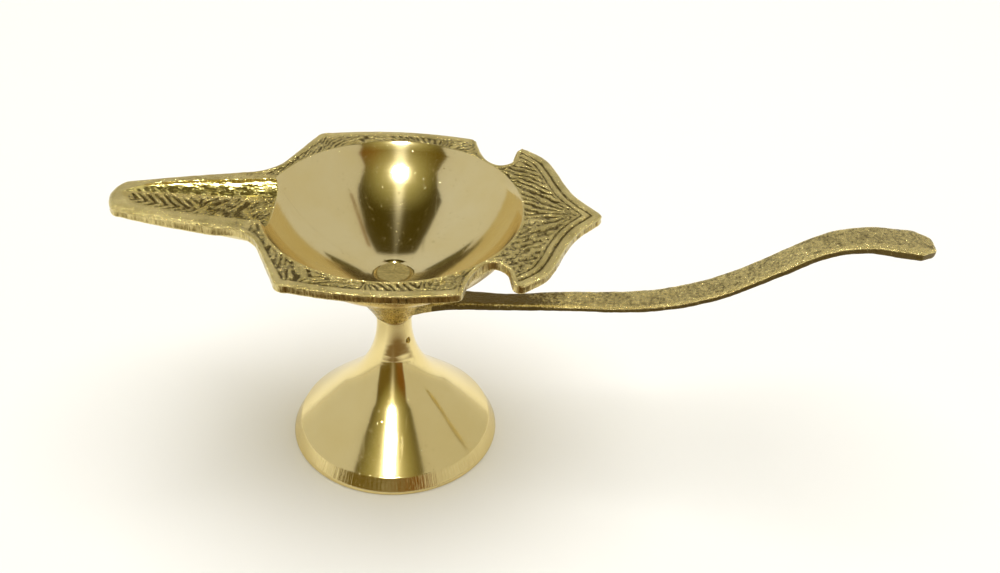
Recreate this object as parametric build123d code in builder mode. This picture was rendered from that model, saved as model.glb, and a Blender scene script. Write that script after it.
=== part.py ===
"""Brass diya: a hand-held oil lamp that stands on a turned pedestal.

The origin is on the pedestal's axis at the surface it stands on, +Z is up,
+X points along the handle and -X towards the wick spout. Sizes are in mm.

From the bottom up, four pieces are stacked on one axis:
  pedestal     turned trumpet foot, hollow below, with a bored neck
  handle       casting: a funnel-shaped collar that runs out into an S-curved bar
  lamp_bowl    casting: oil bowl, flat rim, wick spout and leaf-shaped thumb rest
  centre_stud  its head is sunk in the bowl's floor; its shank passes through the
               bowl and the collar and screws into the pedestal's neck
"""
import math
import os

from build123d import *

os.makedirs("parts", exist_ok=True)

# ---------------------------------------------------------------- driving sizes
# overall sizes
pedestal_height = 38.0
collar_height = 10.0
handle_reach = 131.8
spout_reach = 68.2

# bowl
bowl_radius = 31.6
bowl_depth = 19.9
bowl_wall = 2.0
bowl_floor = 2.6
plate_thickness = 2.5
boss_radius = 11.7
boss_flare_radius = 15.6
wing_corner_radius = 3.2
side_corner_radius = 2.2
lobe_radius = 2.0

# spout
spout_tip_setback = 3.8
spout_tip_half_width = 6.5
spout_belly = 0.5
hull_nose_setback = 1.6
hull_nose_half_width = 3.6
hull_nose_depth = 3.1
hull_tip_depth = 4.4
hull_mid_depth = 7.0
hull_root_depth = 9.4
hull_root_half_width = 14.2
hull_root_inset = 3.6
hull_side_margin = 0.3
channel_setback = 3.4
channel_tip_half_width = 1.6
channel_mid_half_width = 7.4
channel_root_half_width = 10.4
channel_root_inset = 6.0
channel_tip_depth = 0.5
channel_mid_depth = 3.0
channel_root_depth = 4.4

# pedestal
foot_radius = 27.6
foot_bevel_height = 4.2
foot_bevel_width = 2.2
foot_rim_width = 3.0
skirt_height_min = 0.6
pedestal_wall = 2.0
neck_radius = 4.5
neck_straight = 2.2
neck_edge_break = 0.25
trumpet_curve_radius = 27.4
bore_roof = 3.5
neck_hole_radius = 0.85
neck_hole_drop = 6.5
neck_hole_azimuth = -37.0

# handle
collar_base_radius = 4.9
collar_waist = 0.4
collar_edge_break = 0.35
bar_height = 6.2
bar_root_half_width = 6.4
bar_half_width = 3.8
grip_half_width = 5.9
bar_root_length = 20.0
bay_depth = 2.2
bay_middle = 29.0
bay_length = 24.0
bay_runout = 8.0
root_flare_run = 5.0
grip_swell = 0.3
grip_length = 14.0
nose_length = 4.2
nose_half_width = 2.4
root_thickness = 2.6
mid_thickness = 1.6
grip_thickness = 2.5
first_bend_rise = 1.9
second_bend_rise = 24.8
end_rise = 22.8
second_bend_setback = 22.0
bend_spacing = 35.7
first_bend_radius = 66.0
second_bend_radius = 33.0

# stud
head_radius = 4.2
head_thickness = 1.3
shank_radius = 2.5
shank_engagement = 9.5
shank_clearance = 0.05
head_clearance = 0.05
bore_spare_depth = 1.0
stud_chamfer = 0.4

# how far a cut runs past the face it opens through
cut_overrun = 1.0

# ---------------------------------------------------------------- worked-out levels
bowl_seat_z = pedestal_height + collar_height
bowl_bottom_z = bowl_seat_z + bowl_floor
rim_z = bowl_bottom_z + bowl_depth
bowl_sphere_radius = (bowl_radius**2 + bowl_depth**2) / (2 * bowl_depth)
bowl_centre_z = bowl_bottom_z + bowl_sphere_radius
outer_sphere_radius = bowl_sphere_radius + bowl_wall
head_top_z = bowl_centre_z - math.sqrt(bowl_sphere_radius**2 - head_radius**2)
head_seat_z = head_top_z - head_thickness
shank_tip_z = pedestal_height - shank_engagement
bore_bottom_z = shank_tip_z - bore_spare_depth
shank_hole_radius = shank_radius + shank_clearance


def sphere_height(radius_from_axis, sphere_radius):
    """Height of the lower half of a sphere on the bowl's centre, at a distance from the axis."""
    return bowl_centre_z - math.sqrt(sphere_radius**2 - radius_from_axis**2)


def rim_point(angle, land):
    """Plan point that stands a land's width outside the bowl's opening, at an angle from +X."""
    radius = bowl_radius + land
    return (radius * math.cos(math.radians(angle)), radius * math.sin(math.radians(angle)))


# ---------------------------------------------------------------- lamp bowl
# Half of the rim's outline, from the spout's tip round to the leaf's tip.
spout_corner = (-spout_reach + spout_tip_setback, spout_tip_half_width)
spout_root = rim_point(159.9, 6.7)
hollow_corner = rim_point(153.7, 3.6)
shoulder = rim_point(145.9, 3.2)
wing_low = rim_point(125.8, 8.2)
wing_high = rim_point(119.4, 8.2)
side_middle = rim_point(90.0, 5.3)
side_end = rim_point(63.4, 7.5)
side_corner = rim_point(60.3, 6.7)
notch_left = rim_point(54.1, 2.9)
notch_bottom = rim_point(40.9, 1.9)
notch_right = rim_point(40.0, 5.1)
lobe_low = rim_point(44.0, 9.3)
lobe_high = rim_point(43.5, 12.8)
leaf_shoulder = rim_point(35.1, 13.6)
leaf_waist = rim_point(20.1, 12.6)
leaf_neck = rim_point(9.1, 14.2)
leaf_end = rim_point(1.5, 18.4)
leaf_tip = rim_point(0.0, 18.9)

spout_side_middle = (
    (spout_corner[0] + spout_root[0]) / 2,
    (spout_corner[1] + spout_root[1]) / 2 + spout_belly,
)

# Half ellipses that hang from the rim across the spout: (x, half width, depth).
hull_sections = [
    (-spout_reach + hull_nose_setback, hull_nose_half_width, hull_nose_depth),
    (spout_corner[0], spout_tip_half_width - hull_side_margin, hull_tip_depth),
    (spout_side_middle[0], spout_side_middle[1] - hull_side_margin, hull_mid_depth),
    (-bowl_radius + hull_root_inset, hull_root_half_width, hull_root_depth),
]
channel_sections = [
    (-spout_reach + channel_setback, channel_tip_half_width, channel_tip_depth),
    (spout_side_middle[0], channel_mid_half_width, channel_mid_depth),
    (-bowl_radius + channel_root_inset, channel_root_half_width, channel_root_depth),
]

with BuildPart() as lamp_bowl:
    # flat rim plate with the spout's sides and the leaf
    with BuildSketch(Plane.XY.offset(rim_z - plate_thickness)):
        with BuildLine():
            EllipticalCenterArc(
                (spout_corner[0], 0), spout_tip_setback, spout_tip_half_width, 90, arc_size=90
            )
            ThreePointArc(spout_corner, spout_side_middle, spout_root)
            ThreePointArc(spout_root, hollow_corner, shoulder)
            Line(shoulder, wing_low)
            RadiusArc(wing_low, wing_high, wing_corner_radius)
            ThreePointArc(wing_high, side_middle, side_end)
            RadiusArc(side_end, side_corner, side_corner_radius)
            Spline(side_corner, notch_left, notch_bottom, notch_right, lobe_low)
            RadiusArc(lobe_low, lobe_high, lobe_radius)
            Spline(lobe_high, leaf_shoulder, leaf_waist, leaf_neck, leaf_end)
            Line(leaf_end, leaf_tip)
            mirror(about=Plane.XZ)
        make_face()
    extrude(amount=plate_thickness)

    # outside of the bowl, with the flared boss that seats on the collar
    with BuildSketch(Plane.XZ):
        with BuildLine():
            flare_z = sphere_height(boss_flare_radius, outer_sphere_radius)
            mid_radius = (boss_flare_radius + bowl_radius) / 2
            rim_outer = math.sqrt(outer_sphere_radius**2 - (bowl_centre_z - rim_z) ** 2)
            Line((0, bowl_seat_z), (boss_radius, bowl_seat_z))
            Line((boss_radius, bowl_seat_z), (boss_flare_radius, flare_z))
            ThreePointArc(
                (boss_flare_radius, flare_z),
                (mid_radius, sphere_height(mid_radius, outer_sphere_radius)),
                (rim_outer, rim_z),
            )
            Line((rim_outer, rim_z), (0, rim_z))
            Line((0, rim_z), (0, bowl_seat_z))
        make_face()
    revolve(axis=Axis.Z)

    # belly of the spout
    for x, half_width, depth in hull_sections:
        with BuildSketch(Plane.YZ.offset(x)):
            with BuildLine():
                hull_edge = EllipticalCenterArc((0, rim_z), half_width, depth, 180, arc_size=180)
                Line(hull_edge @ 0, hull_edge @ 1)
            make_face()
    loft()

    # inside of the bowl
    with BuildSketch(Plane.XZ):
        with BuildLine():
            bowl_middle = (bowl_radius / 2, sphere_height(bowl_radius / 2, bowl_sphere_radius))
            ThreePointArc((0, bowl_bottom_z), bowl_middle, (bowl_radius, rim_z))
            Line((bowl_radius, rim_z), (bowl_radius, rim_z + cut_overrun))
            Line((bowl_radius, rim_z + cut_overrun), (0, rim_z + cut_overrun))
            Line((0, rim_z + cut_overrun), (0, bowl_bottom_z))
        make_face()
    revolve(axis=Axis.Z, mode=Mode.SUBTRACT)

    # wick channel, from near the spout's tip into the bowl
    for x, half_width, depth in channel_sections:
        with BuildSketch(Plane.YZ.offset(x)):
            with BuildLine():
                channel_edge = EllipticalCenterArc((0, rim_z), half_width, depth, 180, arc_size=180)
                Line(channel_edge @ 0, channel_edge @ 1)
            make_face()
    loft(mode=Mode.SUBTRACT)

    # sunk seat and hole for the stud
    with Locations((0, 0, head_top_z)):
        CounterBoreHole(
            radius=shank_hole_radius,
            counter_bore_radius=head_radius + head_clearance,
            counter_bore_depth=head_thickness,
            depth=head_top_z - bowl_seat_z + cut_overrun,
        )

# ---------------------------------------------------------------- pedestal
# The outside is a cone from the bevel up to an arc that runs out along the neck.
foot_edge = (foot_radius - foot_bevel_width, foot_bevel_height)
curve_centre = (neck_radius + trumpet_curve_radius, pedestal_height - neck_straight)


def tangent_from(point, centre, radius):
    """Point where a line from a given point touches a circle, on the circle's lower left side."""
    away = math.atan2(point[1] - centre[1], point[0] - centre[0])
    distance = math.hypot(point[0] - centre[0], point[1] - centre[1])
    turn = away - math.acos(radius / distance)
    return (centre[0] + radius * math.cos(turn), centre[1] + radius * math.sin(turn))


def on_curve(radius, angle):
    """Point of a circle round the trumpet's curve centre."""
    return (
        curve_centre[0] + radius * math.cos(angle),
        curve_centre[1] + radius * math.sin(angle),
    )


cone_top = tangent_from(foot_edge, curve_centre, trumpet_curve_radius)
cone_angle = math.atan2(cone_top[1] - curve_centre[1], cone_top[0] - curve_centre[0])
cone_angle += 2 * math.pi if cone_angle < 0 else 0
curve_middle = on_curve(trumpet_curve_radius, (cone_angle + math.pi) / 2)

# The inside follows at the wall's thickness, up to a flat roof below the bore.
inner_curve_radius = trumpet_curve_radius + pedestal_wall
inner_cone_top = on_curve(inner_curve_radius, cone_angle)
roof_z = bore_bottom_z - bore_roof
roof_angle = math.pi + math.asin((curve_centre[1] - roof_z) / inner_curve_radius)
inner_middle = on_curve(inner_curve_radius, (cone_angle + roof_angle) / 2)
roof_corner = on_curve(inner_curve_radius, roof_angle)
cone_slope = (foot_edge[1] - cone_top[1]) / (foot_edge[0] - cone_top[0])
skirt_radius = foot_radius - foot_rim_width
skirt_z = max(skirt_height_min, inner_cone_top[1] + cone_slope * (skirt_radius - inner_cone_top[0]))
skirt_top_radius = inner_cone_top[0] + (skirt_z - inner_cone_top[1]) / cone_slope

with BuildPart() as pedestal:
    with BuildSketch(Plane.XZ):
        with BuildLine():
            Line((0, roof_z), (0, pedestal_height))
            Line((0, pedestal_height), (neck_radius - neck_edge_break, pedestal_height))
            Line(
                (neck_radius - neck_edge_break, pedestal_height),
                (neck_radius, pedestal_height - neck_edge_break),
            )
            Line((neck_radius, pedestal_height - neck_edge_break), (neck_radius, curve_centre[1]))
            ThreePointArc((neck_radius, curve_centre[1]), curve_middle, cone_top)
            Line(cone_top, foot_edge)
            Line(foot_edge, (foot_radius, 0))
            Line((foot_radius, 0), (skirt_radius, 0))
            Line((skirt_radius, 0), (skirt_top_radius, skirt_z))
            Line((skirt_top_radius, skirt_z), inner_cone_top)
            ThreePointArc(inner_cone_top, inner_middle, roof_corner)
            Line(roof_corner, (0, roof_z))
        make_face()
    revolve(axis=Axis.Z)
    with Locations((0, 0, pedestal_height)):
        Hole(radius=shank_hole_radius, depth=pedestal_height - bore_bottom_z)
    # small cross hole through one side of the neck
    with BuildSketch(Plane.YZ.rotated((0, 0, neck_hole_azimuth))):
        with Locations((0, pedestal_height - neck_hole_drop)):
            Circle(neck_hole_radius)
    extrude(amount=2 * neck_radius, mode=Mode.SUBTRACT)

# ---------------------------------------------------------------- handle
collar_top_z = bowl_seat_z
bar_top_z = pedestal_height + bar_height
second_bend_x = handle_reach - second_bend_setback
first_bend_x = second_bend_x - bend_spacing
top_corners = [
    (0, bar_top_z),
    (first_bend_x, bar_top_z + first_bend_rise),
    (second_bend_x, bar_top_z + second_bend_rise),
    (handle_reach, bar_top_z + end_rise),
]
drops = [root_thickness, mid_thickness, grip_thickness, grip_thickness]


def bottom_corner(index):
    """Corner of the bar's underside: the top's corner moved square to the bar by its thickness."""
    before = top_corners[max(index - 1, 0)]
    after = top_corners[min(index + 1, len(top_corners) - 1)]
    here = top_corners[index]
    first = math.atan2(here[1] - before[1], here[0] - before[0]) if index else None
    last = math.atan2(after[1] - here[1], after[0] - here[0]) if here != after else None
    first = last if first is None else first
    last = first if last is None else last
    middle = (first + last) / 2
    miter = drops[index] / math.cos((last - first) / 2)
    if index in (0, len(top_corners) - 1):
        return (here[0], here[1] - drops[index] / math.cos(middle))
    return (here[0] + miter * math.sin(middle), here[1] - miter * math.cos(middle))


bottom_corners = [bottom_corner(index) for index in range(len(top_corners))]
top_radii = [first_bend_radius, second_bend_radius]
bottom_radii = [first_bend_radius + mid_thickness, second_bend_radius - grip_thickness]
nose_x = handle_reach - nose_length
grip_x = nose_x - grip_length
bay_start = bay_middle - bay_length / 2
bay_end = bay_middle + bay_length / 2

with BuildPart() as handle:
    # side view of the bar, as wide as its grip
    with BuildSketch(Plane.XZ):
        with BuildLine():
            FilletPolyline(*top_corners, radius=top_radii)
            Line(top_corners[-1], bottom_corners[-1])
            FilletPolyline(*reversed(bottom_corners), radius=list(reversed(bottom_radii)))
            Line(bottom_corners[0], top_corners[0])
        make_face()
    extrude(amount=bar_root_half_width, both=True)
    # plan view of the bar, which trims it to its changing width
    with BuildSketch(Plane.XY.offset(pedestal_height)):
        with BuildLine():
            Line((0, -bar_root_half_width), (0, bar_root_half_width))
            # far side: flares into the collar, with a shallow bay beyond it
            Spline(
                (0, bar_root_half_width),
                (bay_start - root_flare_run, (bar_root_half_width + bar_half_width) / 2),
                (bay_middle, bar_half_width - bay_depth),
                (bay_end, bar_half_width - grip_swell),
                (bay_end + bay_runout, bar_half_width),
                tangents=[(1, 0), (1, 0)],
            )
            Spline(
                (bay_end + bay_runout, bar_half_width),
                (grip_x, grip_half_width - grip_swell),
                (nose_x, grip_half_width),
                tangents=[(1, 0), (1, 0)],
            )
            Line((nose_x, grip_half_width), (handle_reach, nose_half_width))
            Line((handle_reach, nose_half_width), (handle_reach, -nose_half_width))
            Line((handle_reach, -nose_half_width), (nose_x, -grip_half_width))
            Spline(
                (nose_x, -grip_half_width),
                (grip_x, grip_swell - grip_half_width),
                (bay_end + bay_runout, -bar_half_width),
                tangents=[(-1, 0), (-1, 0)],
            )
            # near side: straight, then a flare into the collar
            Line((bay_end + bay_runout, -bar_half_width), (bar_root_length, -bar_half_width))
            Spline(
                (bar_root_length, -bar_half_width),
                (0, -bar_root_half_width),
                tangents=[(-1, 0), (-1, 0)],
            )
        make_face()
    extrude(amount=bar_height + second_bend_rise + grip_thickness, mode=Mode.INTERSECT)
    # funnel-shaped collar, slightly waisted
    with BuildSketch(Plane.XZ):
        with BuildLine():
            collar_low = (collar_base_radius, pedestal_height + collar_edge_break)
            collar_middle = (
                (collar_base_radius + boss_radius) / 2 - collar_waist,
                pedestal_height + collar_height / 2,
            )
            Line((0, pedestal_height), (collar_base_radius - collar_edge_break, pedestal_height))
            Line((collar_base_radius - collar_edge_break, pedestal_height), collar_low)
            ThreePointArc(collar_low, collar_middle, (boss_radius, collar_top_z))
            Line((boss_radius, collar_top_z), (0, collar_top_z))
            Line((0, collar_top_z), (0, pedestal_height))
        make_face()
    revolve(axis=Axis.Z)
    with Locations((0, 0, collar_top_z)):
        Hole(radius=shank_hole_radius, depth=collar_height + cut_overrun)

# ---------------------------------------------------------------- centre stud
with BuildPart() as centre_stud:
    with BuildSketch(Plane.XY.offset(shank_tip_z)):
        Circle(shank_radius)
    extrude(amount=head_seat_z - shank_tip_z)
    with BuildSketch(Plane.XY.offset(head_seat_z)):
        Circle(head_radius)
    extrude(amount=head_thickness)
    chamfer(centre_stud.edges().group_by(Axis.Z)[0], length=stud_chamfer)

# ---------------------------------------------------------------- output
for name, piece in (
    ("lamp_bowl", lamp_bowl),
    ("handle", handle),
    ("pedestal", pedestal),
    ("centre_stud", centre_stud),
):
    piece.part.label = name
    export_step(piece.part, f"parts/{name}.step")
    box = piece.part.bounding_box()
    print(name, len(piece.part.solids()), round(piece.part.volume, 1), box.min, box.max)
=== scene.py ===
# %% [markdown]
# # A brass hand lamp on a turned foot
#
# The object is a small oil lamp of cast and turned brass. A bowl with a spout for the wick and a
# leaf-shaped thumb rest stands on a trumpet-shaped foot, and a curved handle is held between the
# two. One stud goes down through the bowl and the handle's collar and screws into the foot.
#
# The engineering model gives the frame: the bodies that move, the nodes they hold and the box
# that the visible model must stay inside. Each node is stood for here by a finer surface of the
# same size, worked out with numpy. Lengths are in mm until a mesh is made.

# %% Load the imported model
import math

import bmesh
import bpy
import numpy as np
from mathutils import Matrix, Vector


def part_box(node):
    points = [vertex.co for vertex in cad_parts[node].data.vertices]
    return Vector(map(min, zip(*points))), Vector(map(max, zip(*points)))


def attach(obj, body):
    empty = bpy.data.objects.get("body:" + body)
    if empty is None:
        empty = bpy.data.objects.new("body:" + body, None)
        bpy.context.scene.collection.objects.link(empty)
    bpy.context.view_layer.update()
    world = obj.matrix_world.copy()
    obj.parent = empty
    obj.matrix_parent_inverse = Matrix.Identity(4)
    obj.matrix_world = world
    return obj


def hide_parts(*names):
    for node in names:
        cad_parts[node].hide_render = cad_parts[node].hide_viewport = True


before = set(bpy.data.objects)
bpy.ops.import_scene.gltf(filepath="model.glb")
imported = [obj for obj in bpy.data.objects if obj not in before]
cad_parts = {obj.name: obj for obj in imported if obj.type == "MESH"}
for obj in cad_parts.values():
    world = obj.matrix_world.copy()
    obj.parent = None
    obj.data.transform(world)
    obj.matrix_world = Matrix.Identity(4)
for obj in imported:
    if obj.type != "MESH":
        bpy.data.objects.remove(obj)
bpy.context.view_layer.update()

MM = 0.001


def node_box(node):
    """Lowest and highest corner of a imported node, in mm."""
    low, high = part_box(node)
    return np.array(low) / MM, np.array(high) / MM


bowl_low, bowl_high = node_box("lamp_bowl")
handle_low, handle_high = node_box("handle")
foot_low, foot_high = node_box("pedestal")
stud_low, stud_high = node_box("centre_stud")

# %% [markdown]
# ## The camera
#
# The lamp is seen from in front and well above, with the spout to the left and the handle to the
# right. The camera is turned by three plain angles, so its frame is built from the direction it
# looks in, a sideways direction and the one that completes them.

# %% Camera
pitch, yaw, roll = np.radians([35.787, -0.02, -2.737])
level_part = math.cos(pitch)
ahead = Vector((-math.sin(yaw) * level_part, math.cos(yaw) * level_part, -math.sin(pitch)))
level = Vector((math.cos(yaw), math.sin(yaw), 0))
plumb = ahead.cross(level)
across = math.cos(roll) * level + math.sin(roll) * plumb
downward = math.cos(roll) * plumb - math.sin(roll) * level

lens = bpy.data.cameras.new("camera")
lens.sensor_width, lens.lens = 36, 42.86
camera = bpy.data.objects.new("camera", lens)
bpy.context.scene.collection.objects.link(camera)
placing = Matrix((across, -downward, -ahead)).transposed().to_4x4()
camera_place = (0.026727, -0.242964, 0.223021)
placing.translation = camera_place
camera.matrix_world = placing
bpy.context.scene.camera = camera
print("camera looks down", round(math.degrees(pitch), 1), "degrees")

# %% [markdown]
# ## Curves and steps
#
# Castings and turned parts are drawn with few points: straight lines, arcs and smooth curves
# between them. These helpers give such lines as arrays of points. A pattern cut in metal also
# needs soft steps, grooves and a repeatable roughness.

# %% Plan curves
def polar(angle, radius):
    """Plan point at an angle in degrees from +X and a distance from the axis."""
    turn = np.radians(angle)
    return np.stack([radius * np.cos(turn), radius * np.sin(turn)], -1)


def arc(first, middle, last, count=80):
    """Arc through three points: the centre is as far from all three, the angle runs evenly."""
    ends = np.array([first, middle, last], float)
    sides = 2 * (ends[1:] - ends[0])
    centre = np.linalg.solve(sides, (ends[1:] ** 2).sum(1) - (ends[0] ** 2).sum())
    spokes = ends - centre
    angles = np.unwrap(np.arctan2(spokes[:, 1], spokes[:, 0]))
    turn = np.interp(np.linspace(0, 2, count), [0, 1, 2], angles)
    return centre + np.hypot(*spokes[0]) * np.stack([np.cos(turn), np.sin(turn)], -1)


def round_corner(first, last, radius):
    """Arc of a given radius between two points, bulging away from the lamp's axis."""
    first, last = np.array(first), np.array(last)
    chord = last - first
    half = np.hypot(*chord) / 2
    rise = radius - math.sqrt(radius**2 - half**2)
    side = np.array([chord[1], -chord[0]]) / (2 * half)
    side *= np.sign(side @ (first + last))
    return arc(first, (first + last) / 2 + rise * side, last)


def smooth_through(knots, count=40):
    """Natural cubic spline: the second derivatives at the knots solve one linear system."""
    knots = np.array(knots, float)
    gap = np.hypot(*np.diff(knots, axis=0).T)
    slope = np.diff(knots, axis=0) / gap[:, None]
    inner = np.arange(1, len(knots) - 1)
    system = np.eye(len(knots))
    system[inner, inner - 1], system[inner, inner + 1] = gap[:-1], gap[1:]
    system[inner, inner] = 2 * (gap[:-1] + gap[1:])
    right = np.zeros_like(knots)
    right[inner] = 6 * np.diff(slope, axis=0)
    bend = np.linalg.solve(system, right)
    place = np.linspace(0, len(gap), len(gap) * count + 1)
    span = np.minimum(place.astype(int), len(gap) - 1)
    part, width = (place - span)[:, None], gap[span][:, None]
    rest = 1 - part
    curve = rest * knots[span] + part * knots[span + 1]
    lift = (rest**3 - rest) * bend[span] + (part**3 - part) * bend[span + 1]
    return curve + lift * width**2 / 6


def run_length(line):
    """Distance along a line of points, from its first point to each."""
    return np.concatenate([[0], np.cumsum(np.hypot(*np.diff(line, axis=0).T))])


def even(line, cells, *riders):
    """The line at equal distances, with any arrays that ride along it taken at the same places."""
    length = run_length(line)
    places = np.linspace(0, length[-1], cells + 1)
    columns = [line[:, 0], line[:, 1], *riders]
    taken = [np.interp(places, length, column) for column in columns]
    return np.stack(taken[:2], -1), *taken[2:]


# %% Steps, grooves and roughness
def step(low, high, value):
    """0 below low, 1 above high and a cubic with level ends between them."""
    part = np.clip((value - low) / (high - low), 0, 1)
    return part * part * (3 - 2 * part)


def groove(distance, middle, width):
    """Bell curve that is 1 on the middle line and dies away within about twice the width."""
    return np.exp(-(((distance - middle) / width) ** 2))


def lattice(column, row, seed):
    """A repeatable number in [-1, 1] for each lattice point: the fraction of a large sine."""
    wave = np.sin(column * 12.9898 + row * 78.233 + seed * 3.71)
    return 2 * np.modf(np.abs(wave * 43758.5453))[0] - 1


def rough(x, y, size, seed):
    """Random heights in [-1, 1]: lattice numbers a size apart, blended by a cubic step."""
    u = (0.8 * x - 0.6 * y) / size + 31.7 * seed
    v = (0.6 * x + 0.8 * y) / size + 17.3 * seed
    i, j = np.floor(u), np.floor(v)
    f, g = step(0, 1, u - i), step(0, 1, v - j)
    near = lattice(i, j, seed) * (1 - f) + lattice(i + 1, j, seed) * f
    far = lattice(i, j + 1, seed) * (1 - f) + lattice(i + 1, j + 1, seed) * f
    return near * (1 - g) + far * g


def pebbles(x, y, size, seed):
    """Two sizes of roughness added, the second half as large and half as high."""
    return (rough(x, y, size, seed) + 0.5 * rough(x, y, size / 2, seed + 1)) / 1.5


sample = round(float(pebbles(1.0, 2.0, 1.5, 3)), 3)
print("a step's middle is", step(0, 1, 0.5), "and a pebble", sample)

# %% [markdown]
# ## From grids to a mesh
#
# Every piece is a few patches. A patch is a grid of points, so its faces follow from the row and
# column numbers alone. Patches share the points along their seams, and welding those points
# closes the skin. Blender then turns all faces outwards, which is safe on a closed skin. A number
# on each point says how deep it lies in a cut, for the tarnish.

# %% Shell
weld_distance = 0.0005 * MM


def fix_texture_space(mesh):
    """One texture space for all pieces, whatever their size."""
    mesh.use_auto_texspace = False
    mesh.texspace_location, mesh.texspace_size = (0, 0, 0.05), (0.1, 0.1, 0.1)


class Shell:
    """Patches of a closed skin, in mm."""

    def __init__(self):
        self.points, self.quads, self.finishes, self.recesses = [], [], [], []
        self.count = 0

    def patch(self, points, finish=0, tarnish_and_shade=0.0, ring=False):
        """Adds a grid of points; ring also joins its last column to its first."""
        rows, columns = points.shape[:2]
        index = self.count + np.arange(rows * columns).reshape(rows, columns)
        index = np.concatenate([index, index[:, :1]], 1) if ring else index
        corners = [index[:-1, :-1], index[:-1, 1:], index[1:, 1:], index[1:, :-1]]
        quads = np.stack(corners, -1).reshape(-1, 4)
        self.points.append(points.reshape(-1, 3))
        self.recesses.append(np.broadcast_to(tarnish_and_shade, (rows, columns)).reshape(-1))
        self.quads.append(quads)
        self.finishes.append(np.full(len(quads), finish))
        self.count += rows * columns

    def piece(self, name, materials):
        """Makes the object: arrays go in whole, seams are welded, faces are turned outwards."""
        points, quads = np.concatenate(self.points), np.concatenate(self.quads)
        mesh = bpy.data.meshes.new(name)
        mesh.vertices.add(len(points))
        mesh.vertices.foreach_set("co", (points * MM).astype(np.float32).ravel())
        mesh.loops.add(quads.size)
        mesh.loops.foreach_set("vertex_index", quads.astype(np.int32).ravel())
        mesh.polygons.add(len(quads))
        mesh.polygons.foreach_set("loop_start", np.arange(0, quads.size, 4, dtype=np.int32))
        mesh.polygons.foreach_set("material_index", np.concatenate(self.finishes).astype(np.int32))
        tarnish_and_shade = mesh.attributes.new("tarnish_and_shade", "FLOAT", "POINT")
        tarnish_and_shade.data.foreach_set("value", np.concatenate(self.recesses).astype(np.float32))
        mesh.update(calc_edges=True)
        work = bmesh.new()
        work.from_mesh(mesh)
        bmesh.ops.remove_doubles(work, verts=work.verts, dist=weld_distance)
        bmesh.ops.recalc_face_normals(work, faces=work.faces)
        open_edges = sum(not edge.is_manifold for edge in work.edges)
        work.to_mesh(mesh)
        work.free()
        mesh.shade_smooth()
        fix_texture_space(mesh)
        for material in materials:
            mesh.materials.append(material)
        made = bpy.data.objects.new(name, mesh)
        bpy.context.scene.collection.objects.link(made)
        triangles = sum(len(face.vertices) - 2 for face in mesh.polygons)
        print(name, "has", triangles, "triangles and", open_edges, "open edges")
        return made


# %% [markdown]
# ## Shader sums as Python sums
#
# A shader graph is arithmetic on sockets. This small class wraps one socket, so an expression
# such as 1 - mask * 0.4 adds the Math nodes that work it out. All other nodes come from one
# function, which sets the node's own choices first and then its sockets.

# %% Shader values
class Value:
    """One output socket, with Python's operators standing for Math nodes."""

    def __init__(self, tree, socket):
        self.tree, self.socket = tree, socket

    def math(self, operation, first, second=0.0, clamp=False):
        settings = {"operation": operation, "use_clamp": clamp}
        return add_node(self.tree, "ShaderNodeMath", settings, {0: first, 1: second})

    def __add__(self, other):
        return self.math("ADD", self, other)

    def __sub__(self, other):
        return self.math("SUBTRACT", self, other)

    def __rsub__(self, other):
        return self.math("SUBTRACT", other, self)

    def __mul__(self, other):
        return self.math("MULTIPLY", self, other)

    def __truediv__(self, other):
        return self.math("DIVIDE", self, other)

    def __pow__(self, other):
        return self.math("POWER", self, other)

    def __abs__(self):
        return self.math("ABSOLUTE", self)

    __radd__, __rmul__ = __add__, __mul__

    def between(self, low, high):
        """0 below low and 1 above high, straight between them."""
        return self.math("ADD", (self - low) * (1 / (high - low)), 0.0, clamp=True)


def feed(tree, socket, value):
    """Links a Value to a socket, or gives the socket a number or a colour."""
    if isinstance(value, Value):
        tree.links.new(value.socket, socket)
    else:
        socket.default_value = value


def add_node(tree, kind, settings=None, sockets=None, output=0):
    """Adds a node: its settings are set first, and then its sockets are fed."""
    node = tree.nodes.new(kind)
    for name, value in (settings or {}).items():
        setattr(node, name, value)
    for name, value in (sockets or {}).items():
        feed(tree, node.inputs[name], value)
    return Value(tree, node.outputs[output])


def tint(tree, factor, first, second):
    """Blend of two colours: the colour sockets of a Mix node are 6 and 7, and its output is 2."""
    sockets = {0: factor, 6: first, 7: second}
    return add_node(tree, "ShaderNodeMix", {"data_type": "RGBA"}, sockets, 2)


def axes_of(tree, vector):
    """The three parts of a vector."""
    return [add_node(tree, "ShaderNodeSeparateXYZ", None, {0: vector}, n) for n in range(3)]


# %% [markdown]
# ## Brass
#
# All pieces are the same pale brass, and what differs is how each surface was worked: turned and
# polished, filed, chased with a punch, or left as it came out of the sand. So one recipe makes
# every finish from a few numbers. Bumps are built from noise that is stretched along the tool's
# path, and the tarnish sits where a cut is deep or the grain is low. On the handle the same dark
# brown is also painted shade, where the bowl shades the bar's top.

# %% Brass recipe
PALE = (0.86, 0.74, 0.42, 1)
WARM = (0.80, 0.645, 0.27, 1)
OLIVE = (0.66, 0.545, 0.20, 1)
# dark brown of the tarnish in the cuts, and on the handle also of the painted shade under the bowl
TARNISH_AND_SHADE = (0.13, 0.090, 0.022, 1)


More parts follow.
